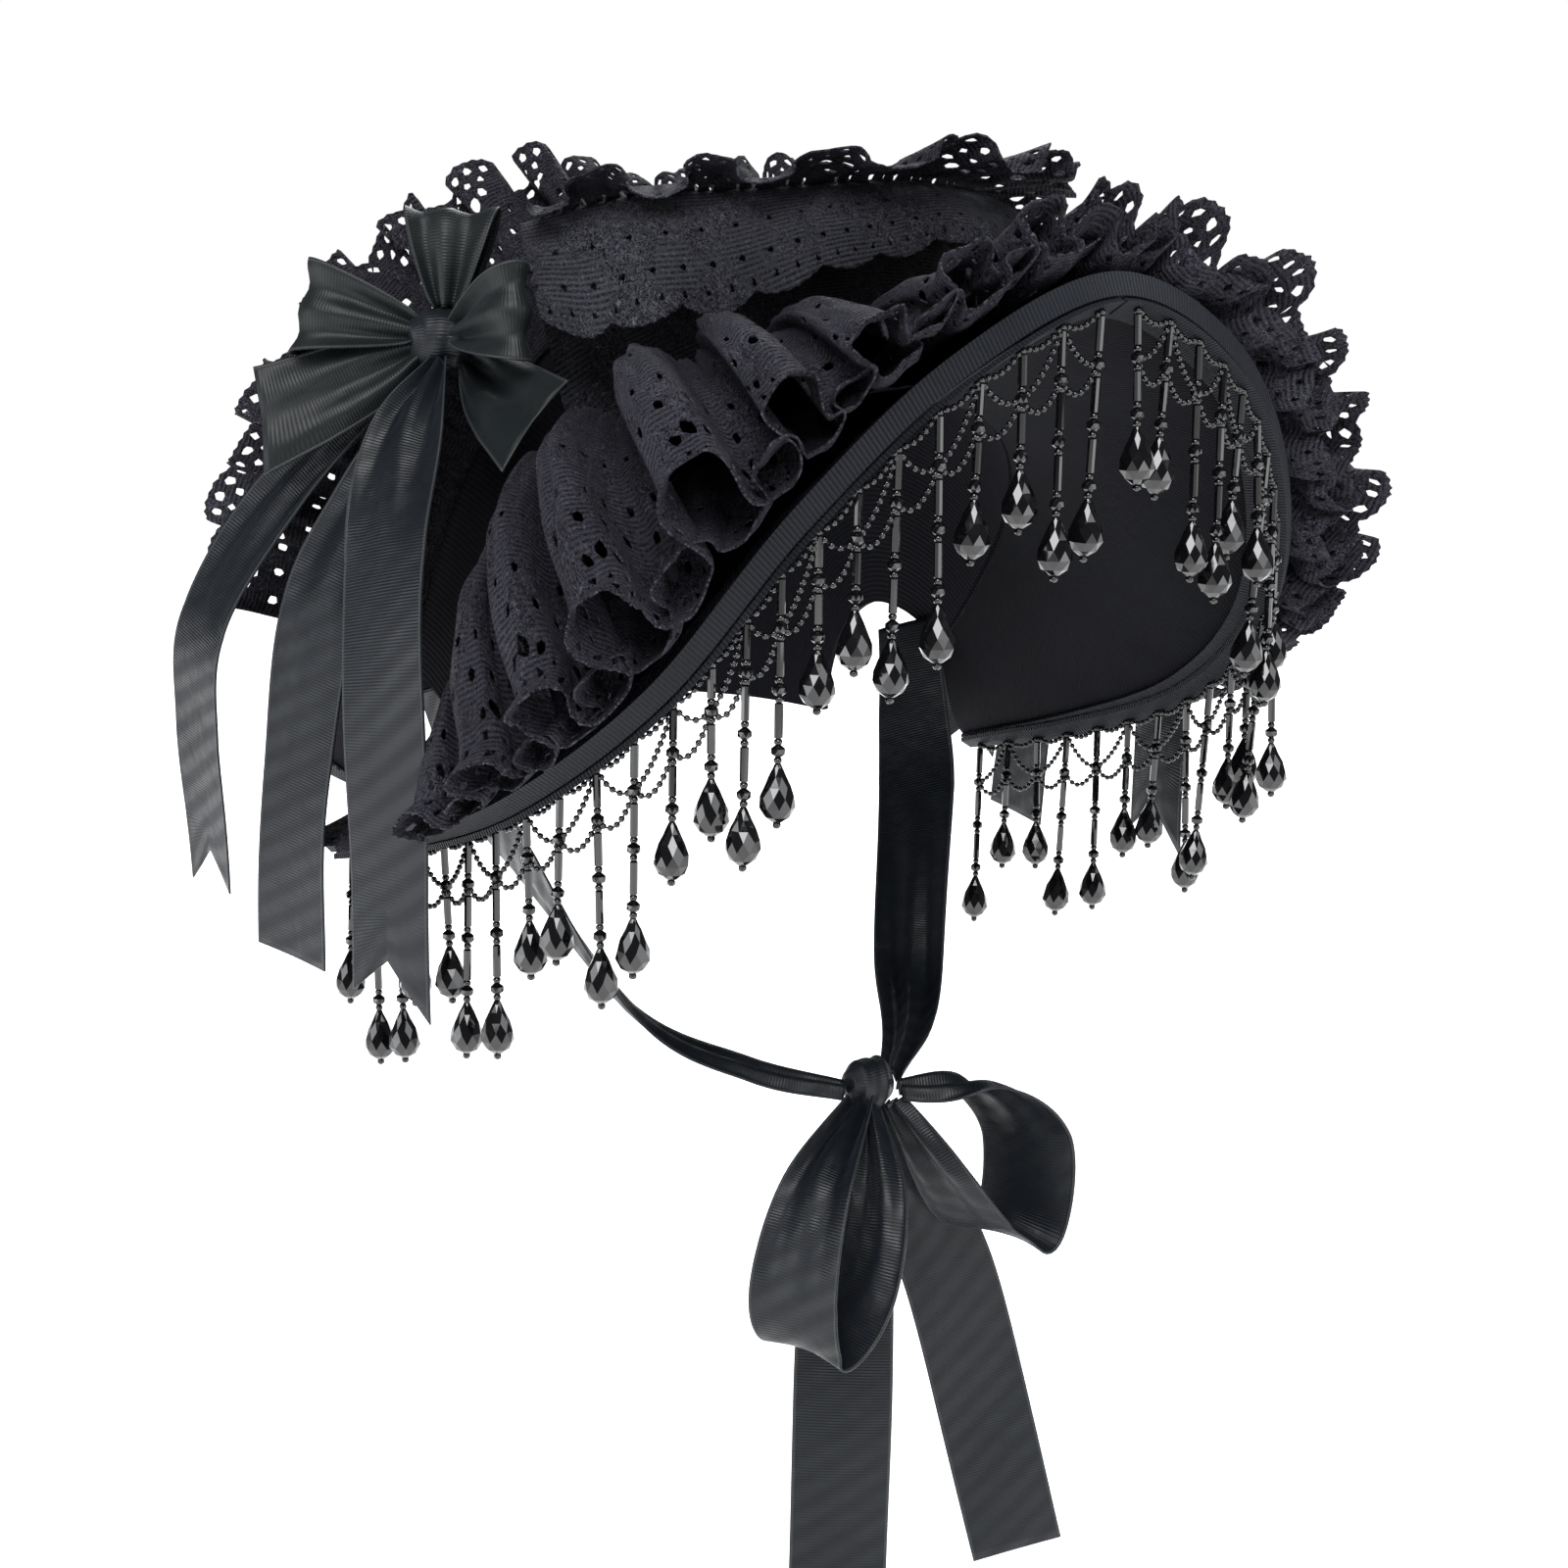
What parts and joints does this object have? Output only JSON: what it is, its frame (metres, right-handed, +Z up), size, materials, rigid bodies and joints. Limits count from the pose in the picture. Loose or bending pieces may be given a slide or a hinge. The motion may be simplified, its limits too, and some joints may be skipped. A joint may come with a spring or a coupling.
{
  "type": "lace bonnet",
  "caption": "Stiffened arched-brim bonnet with gathered lace tiers, side bows with streamers, a hanging bead fringe along the brim and a chin ribbon tied in a bow.",
  "frame": {"origin": "where the top of the wearer's head meets the inside of the crown", "axes": "+Z up on the worn bonnet, -Y the way the wearer faces, +X the wearer's left"},
  "size_m": [0.2734, 0.2657, 0.3793],
  "materials": {
    "lining_cloth": "matte plain weave",
    "brim_cloth": "matte diagonal weave over stiffening",
    "grosgrain": "ribbed, slight sheen",
    "lace": "matte raschel lace",
    "satin": "soft satin sheen",
    "black_glass": "polished faceted black glass"
  },
  "bodies": {
    "root": {"crown": "lining_cloth", "brim": "brim_cloth", "edge_binding": "grosgrain", "fringe_left": "black_glass", "fringe_right": "black_glass", "front_ruffle": "lace", "lace_band": "lace", "over_ruffle": "lace", "crest_ruffle": "lace", "bow_left_knot": "satin", "bow_left_loop_front": "satin", "bow_left_loop_top": "satin", "bow_left_loop_back": "satin", "bow_left_tail_front": "satin", "bow_left_tail_back": "satin", "bow_left_streamer_front": "satin", "bow_left_streamer_middle": "satin", "bow_left_streamer_back": "satin", "bow_right_knot": "satin", "bow_right_loop_front": "satin", "bow_right_loop_top": "satin", "bow_right_loop_back": "satin", "bow_right_tail_front": "satin", "bow_right_tail_back": "satin", "bow_right_streamer_front": "satin", "bow_right_streamer_middle": "satin", "bow_right_streamer_back": "satin", "chin_knot": "satin", "chin_strap_left": "satin", "chin_strap_right": "satin", "chin_tail_right": "satin", "chin_tail_left": "satin", "chin_loop_right": "satin", "chin_loop_left": "satin"}
  },
  "joints": []
}
